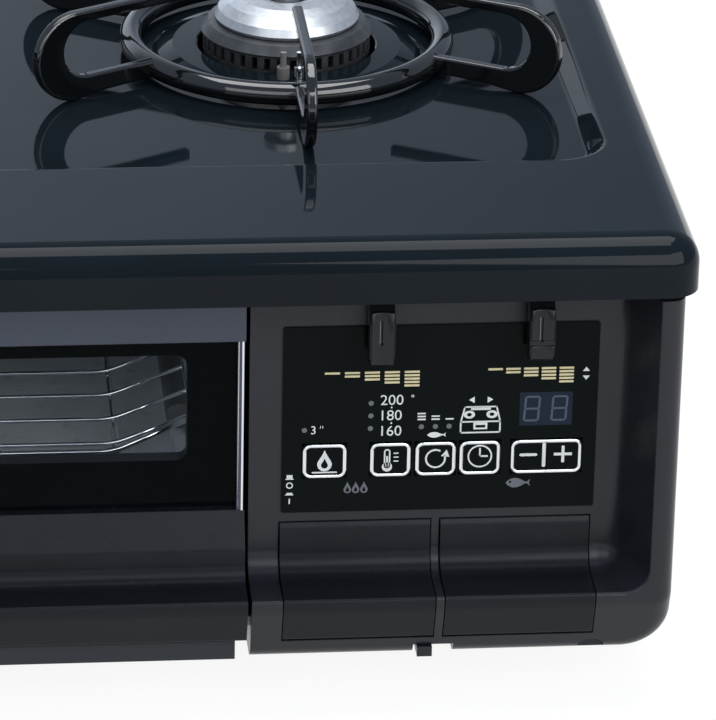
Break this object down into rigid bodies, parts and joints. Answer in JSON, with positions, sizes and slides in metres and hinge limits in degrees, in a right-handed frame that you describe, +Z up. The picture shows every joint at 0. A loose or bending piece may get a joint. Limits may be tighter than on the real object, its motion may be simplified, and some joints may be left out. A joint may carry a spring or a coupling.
{
  "type": "gas stove",
  "caption": "Table top gas stove with two burners, touch controls, push buttons, heat levers and a pull-out fish grill drawer with a rack and window.",
  "frame": {"origin": "centre of the footprint, on the surface that the feet stand on", "axes": "+Z up, -Y towards the front with the grill door, +X to the right hand side seen from the front"},
  "size_m": [0.596, 0.446, 0.2265],
  "materials": {
    "enamel": "glossy vitreous enamel, blue black",
    "plastic": "fine textured moulded plastic, near black",
    "gloss": "gloss black panel film",
    "key": "gloss black key with a silver rim",
    "sheet": "black painted sheet steel",
    "zinc": "zinc coated sheet steel",
    "rubber": "black rubber",
    "screw": "plated steel",
    "casting": "die cast aluminium",
    "head": "dark heat stained burner head",
    "cap": "bead blasted aluminium",
    "chrome": "bright steel",
    "brass": "brass",
    "copper": "copper tube",
    "ceramic": "white glazed ceramic",
    "glass": "heat resistant glass with a black border",
    "trim": "satin blue grey coated metal",
    "board": "green circuit board",
    "lead": "silicone covered lead",
    "cell": "plain battery jacket",
    "grey_box": "pale moulded plastic"
  },
  "bodies": {
    "cabinet": {"top_plate": "enamel", "body_shell": "sheet", "bottom_pan": "zinc", "feet": "rubber", "back_screws": "screw", "burner_rail": "zinc", "right_fascia": "plastic", "left_fascia": "plastic", "control_membrane": "gloss", "left_membrane": "gloss", "control_board": "board", "right_valve": "casting", "grill_valve": "casting", "left_valve": "casting", "gas_inlet": "brass", "gas_manifold": "casting", "grill_gas_pipes": "copper", "right_burner_body": "casting", "left_burner_body": "casting", "right_burner_head": "head", "left_burner_head": "head", "spark_electrodes": "ceramic", "thermocouples": "copper", "seal_rings": "enamel", "igniter_box": "grey_box", "wiring_harness": "lead", "grill_box": "sheet", "grill_upper_burner": "zinc", "grill_lower_burner": "zinc", "exhaust_duct": "zinc", "battery_sleeve": "grey_box"},
    "grill_drawer": {"grill_door_frame": "sheet", "grill_glass": "glass", "door_trim": "trim", "grill_handle": "plastic", "drawer_frame": "chrome", "grill_pan": "enamel", "grill_rack": "chrome"},
    "key_high_heat_body": {"key_high_heat": "key"},
    "key_temperature_body": {"key_temperature": "key"},
    "key_auto_body": {"key_auto": "key"},
    "key_timer_body": {"key_timer": "key"},
    "key_minus_body": {"key_minus": "key"},
    "key_plus_body": {"key_plus": "key"},
    "right_burner_button_body": {"right_burner_button": "plastic"},
    "grill_button_body": {"grill_button": "plastic"},
    "left_burner_button_body": {"left_burner_button": "plastic"},
    "right_fire_lever_body": {"right_fire_lever": "plastic"},
    "grill_fire_lever_body": {"grill_fire_lever": "plastic"},
    "left_fire_lever_body": {"left_fire_lever": "plastic"},
    "right_sensor_body": {"right_sensor": "chrome"},
    "left_sensor_body": {"left_sensor": "chrome"},
    "right_trivet_body": {"right_trivet": "enamel"},
    "left_trivet_body": {"left_trivet": "enamel"},
    "right_burner_cap_body": {"right_burner_cap": "cap"},
    "left_burner_cap_body": {"left_burner_cap": "cap"},
    "exhaust_cover_body": {"exhaust_cover": "enamel"},
    "lock_slider_body": {"lock_slider": "plastic"},
    "battery_drawer_body": {"battery_drawer": "plastic", "battery_cells": "cell"}
  },
  "joints": [
    {"name": "grill_drawer_slide", "type": "slide", "parent": "cabinet", "child": "grill_drawer", "axis": [0, -1, 0], "range_m": [0, 0.23]},
    {"name": "right_burner_button_press", "type": "slide", "parent": "cabinet", "child": "right_burner_button_body", "axis": [0, 1, 0], "range_m": [0, 0.008], "stiffness_N_per_m": 400, "springref_m": -0.004},
    {"name": "grill_button_press", "type": "slide", "parent": "cabinet", "child": "grill_button_body", "axis": [0, 1, 0], "range_m": [0, 0.008], "stiffness_N_per_m": 400, "springref_m": -0.004},
    {"name": "left_burner_button_press", "type": "slide", "parent": "cabinet", "child": "left_burner_button_body", "axis": [0, 1, 0], "range_m": [0, 0.008], "stiffness_N_per_m": 400, "springref_m": -0.004},
    {"name": "key_high_heat_press", "type": "slide", "parent": "cabinet", "child": "key_high_heat_body", "axis": [0, 1, 0], "range_m": [0, 0.0005], "stiffness_N_per_m": 800, "springref_m": -0.0005},
    {"name": "key_temperature_press", "type": "slide", "parent": "cabinet", "child": "key_temperature_body", "axis": [0, 1, 0], "range_m": [0, 0.0005], "stiffness_N_per_m": 800, "springref_m": -0.0005},
    {"name": "key_auto_press", "type": "slide", "parent": "cabinet", "child": "key_auto_body", "axis": [0, 1, 0], "range_m": [0, 0.0005], "stiffness_N_per_m": 800, "springref_m": -0.0005},
    {"name": "key_timer_press", "type": "slide", "parent": "cabinet", "child": "key_timer_body", "axis": [0, 1, 0], "range_m": [0, 0.0005], "stiffness_N_per_m": 800, "springref_m": -0.0005},
    {"name": "key_minus_press", "type": "slide", "parent": "cabinet", "child": "key_minus_body", "axis": [0, 1, 0], "range_m": [0, 0.0005], "stiffness_N_per_m": 800, "springref_m": -0.0005},
    {"name": "key_plus_press", "type": "slide", "parent": "cabinet", "child": "key_plus_body", "axis": [0, 1, 0], "range_m": [0, 0.0005], "stiffness_N_per_m": 800, "springref_m": -0.0005},
    {"name": "right_fire_lever_swing", "type": "hinge", "parent": "cabinet", "child": "right_fire_lever_body", "pos_m": [0.1833, -0.1105, 0.1615], "axis": [0, 0, 1], "range_deg": [-10.5, 8.5]},
    {"name": "grill_fire_lever_swing", "type": "hinge", "parent": "cabinet", "child": "grill_fire_lever_body", "pos_m": [0.2419, -0.1105, 0.1615], "axis": [0, 0, 1], "range_deg": [-9.2, 7]},
    {"name": "left_fire_lever_swing", "type": "hinge", "parent": "cabinet", "child": "left_fire_lever_body", "pos_m": [-0.1833, -0.1105, 0.1615], "axis": [0, 0, 1], "range_deg": [-10.5, 8.5]},
    {"name": "right_sensor_press", "type": "slide", "parent": "cabinet", "child": "right_sensor_body", "axis": [0, 0, -1], "range_m": [0, 0.006], "stiffness_N_per_m": 300, "springref_m": -0.004},
    {"name": "left_sensor_press", "type": "slide", "parent": "cabinet", "child": "left_sensor_body", "axis": [0, 0, -1], "range_m": [0, 0.006], "stiffness_N_per_m": 300, "springref_m": -0.004},
    {"name": "right_trivet_lift", "type": "slide", "parent": "cabinet", "child": "right_trivet_body", "axis": [0, 0, 1], "range_m": [0, 0.06]},
    {"name": "left_trivet_lift", "type": "slide", "parent": "cabinet", "child": "left_trivet_body", "axis": [0, 0, 1], "range_m": [0, 0.06]},
    {"name": "right_burner_cap_lift", "type": "slide", "parent": "cabinet", "child": "right_burner_cap_body", "axis": [0, 0, 1], "range_m": [0, 0.03]},
    {"name": "left_burner_cap_lift", "type": "slide", "parent": "cabinet", "child": "left_burner_cap_body", "axis": [0, 0, 1], "range_m": [0, 0.03]},
    {"name": "exhaust_cover_lift", "type": "slide", "parent": "cabinet", "child": "exhaust_cover_body", "axis": [0, 0, 1], "range_m": [0, 0.04]},
    {"name": "battery_drawer_slide", "type": "slide", "parent": "cabinet", "child": "battery_drawer_body", "axis": [0, -1, 0], "range_m": [0, 0.13]},
    {"name": "lock_slider_slide", "type": "slide", "parent": "cabinet", "child": "lock_slider_body", "axis": [1, 0, 0], "range_m": [0, 0.0075]}
  ]
}
